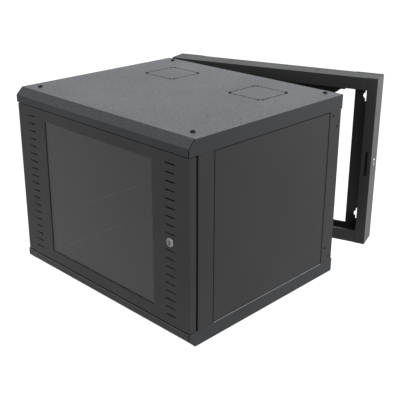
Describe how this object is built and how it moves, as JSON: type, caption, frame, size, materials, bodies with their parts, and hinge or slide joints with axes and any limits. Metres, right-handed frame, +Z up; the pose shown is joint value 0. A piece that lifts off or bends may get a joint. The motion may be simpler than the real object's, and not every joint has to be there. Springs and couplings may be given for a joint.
{
  "type": "wall mount network cabinet",
  "caption": "Wall mount network cabinet with a framed glass door, removable side panels and square-hole rack rails, hinged and locked to a shallow wall frame; shown partly swung open.",
  "frame": {"origin": "centre of the wall frame's back face, where it meets the wall", "axes": "+Y into the wall, +Z up, +X to the right of someone who stands before the wall and faces it"},
  "size_m": [0.7693, 0.7341, 0.474],
  "materials": {
    "cabinet_coat": "satin powder coat",
    "cover_coat": "fine texture powder coat",
    "door_coat": "satin powder coat",
    "wall_frame_coat": "satin powder coat",
    "rail_coat": "satin powder coat",
    "plated_steel": "zinc plated",
    "lock_chrome": "polished",
    "black_screws": "black oxide",
    "tinted_glass": "dark tinted, clear",
    "bonding_strip": "matte",
    "buffer_rubber": "matte"
  },
  "bodies": {
    "wall_frame": {"wall_frame_left": "wall_frame_coat", "wall_frame_right": "wall_frame_coat", "wall_frame_top": "wall_frame_coat", "wall_frame_bottom": "wall_frame_coat", "wall_hinge_bracket_upper": "plated_steel", "wall_hinge_bracket_lower": "plated_steel", "wall_hinge_pin_upper": "plated_steel", "wall_hinge_pin_lower": "plated_steel", "wall_bracket_screws": "black_screws", "wall_lock_housing": "lock_chrome", "wall_lock_nut": "plated_steel"},
    "wall_lock": {"wall_lock_plug": "lock_chrome", "wall_lock_cam": "plated_steel"},
    "cabinet": {"top_cover": "cover_coat", "bottom_cover": "cover_coat", "front_frame": "cabinet_coat", "rear_frame": "cabinet_coat", "side_panel_left": "cabinet_coat", "side_panel_right": "cabinet_coat", "depth_rail_left_upper": "rail_coat", "depth_rail_left_lower": "rail_coat", "depth_rail_right_upper": "rail_coat", "depth_rail_right_lower": "rail_coat", "rack_rail_front_left": "rail_coat", "rack_rail_front_right": "rail_coat", "rack_rail_rear_left": "rail_coat", "rack_rail_rear_right": "rail_coat", "top_cover_screws": "black_screws", "bottom_cover_screws": "black_screws", "side_panel_screws_left": "black_screws", "side_panel_screws_right": "black_screws", "side_panel_buffers": "buffer_rubber", "rack_rail_screws": "black_screws", "earth_stud": "plated_steel", "door_hinge_bracket_upper": "plated_steel", "door_hinge_bracket_lower": "plated_steel", "door_hinge_pin_upper": "plated_steel", "door_hinge_pin_lower": "plated_steel", "hinge_arm_upper": "plated_steel", "hinge_arm_lower": "plated_steel", "hinge_arm_screws": "black_screws"},
    "door": {"door_frame": "door_coat", "door_glass": "tinted_glass", "glass_seal": "bonding_strip", "door_lock_housing": "lock_chrome", "door_lock_nut": "plated_steel"},
    "door_lock": {"door_lock_plug": "lock_chrome", "door_lock_cam": "plated_steel"}
  },
  "joints": [
    {"name": "cabinet_swing", "type": "hinge", "parent": "wall_frame", "child": "cabinet", "pos_m": [-0.2885, -0.033, 0], "axis": [0, 0, -1], "range_deg": [-18, 72]},
    {"name": "door_swing", "type": "hinge", "parent": "cabinet", "child": "door", "pos_m": [-0.45318, -0.54308, -0.0028], "axis": [0, 0, -1], "range_deg": [0, 180]},
    {"name": "door_lock_turn", "type": "hinge", "parent": "door", "child": "door_lock", "pos_m": [0.04826, -0.71652, -0.0028], "axis": [0.309, 0.9511, 0], "range_deg": [0, 90]},
    {"name": "wall_lock_turn", "type": "hinge", "parent": "wall_frame", "child": "wall_lock", "pos_m": [0.2985, -0.0346, 0], "axis": [1, 0, 0], "range_deg": [0, 90]}
  ]
}
